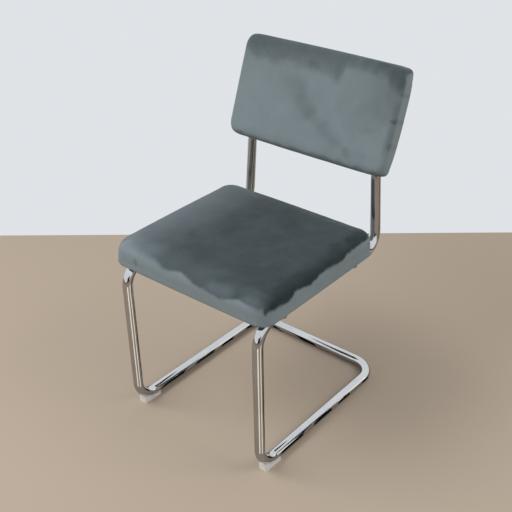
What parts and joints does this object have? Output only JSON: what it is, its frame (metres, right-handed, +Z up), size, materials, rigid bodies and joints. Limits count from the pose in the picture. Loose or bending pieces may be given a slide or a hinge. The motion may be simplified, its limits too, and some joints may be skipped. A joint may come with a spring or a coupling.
{
  "type": "cantilever chair",
  "caption": "Cantilever dining chair with a bent chrome tube frame, a padded velvet seat and a leaning padded back board.",
  "frame": {"origin": "on the floor under the middle of the chair's overall box", "axes": "+Z up, +X to the sitter's left, +Y to the back of the chair; the sitter faces -Y"},
  "size_m": [0.472, 0.5539, 0.8613],
  "materials": {
    "chrome_tube": "polished chrome plate",
    "plywood": "raw plywood",
    "foam": "open cell upholstery foam",
    "velvet": "short pile velvet, grey teal",
    "black_cloth": "non-woven dust cloth",
    "zinc_steel": "zinc plated",
    "black_plastic": "moulded, matt",
    "milky_plastic": "moulded, milky and slightly see-through",
    "clear_plastic": "moulded, clear"
  },
  "bodies": {
    "root": {"frame_tube": "chrome_tube", "front_cross_tube": "chrome_tube", "rear_cross_tube": "chrome_tube", "seat_panel": "plywood", "back_panel": "plywood", "seat_foam": "foam", "back_front_foam": "foam", "back_rear_foam": "foam", "seat_cover": "velvet", "back_cover": "velvet", "seat_dust_cover": "black_cloth", "seat_tee_nuts": "zinc_steel", "back_tee_nuts": "zinc_steel", "seat_bolts": "zinc_steel", "back_bolts": "zinc_steel", "seat_washers": "zinc_steel", "back_washers": "zinc_steel", "post_cap_left": "black_plastic", "post_cap_right": "black_plastic", "front_shoe_left": "milky_plastic", "front_shoe_right": "milky_plastic", "rear_pad_left": "clear_plastic", "rear_pad_right": "clear_plastic"}
  },
  "joints": []
}
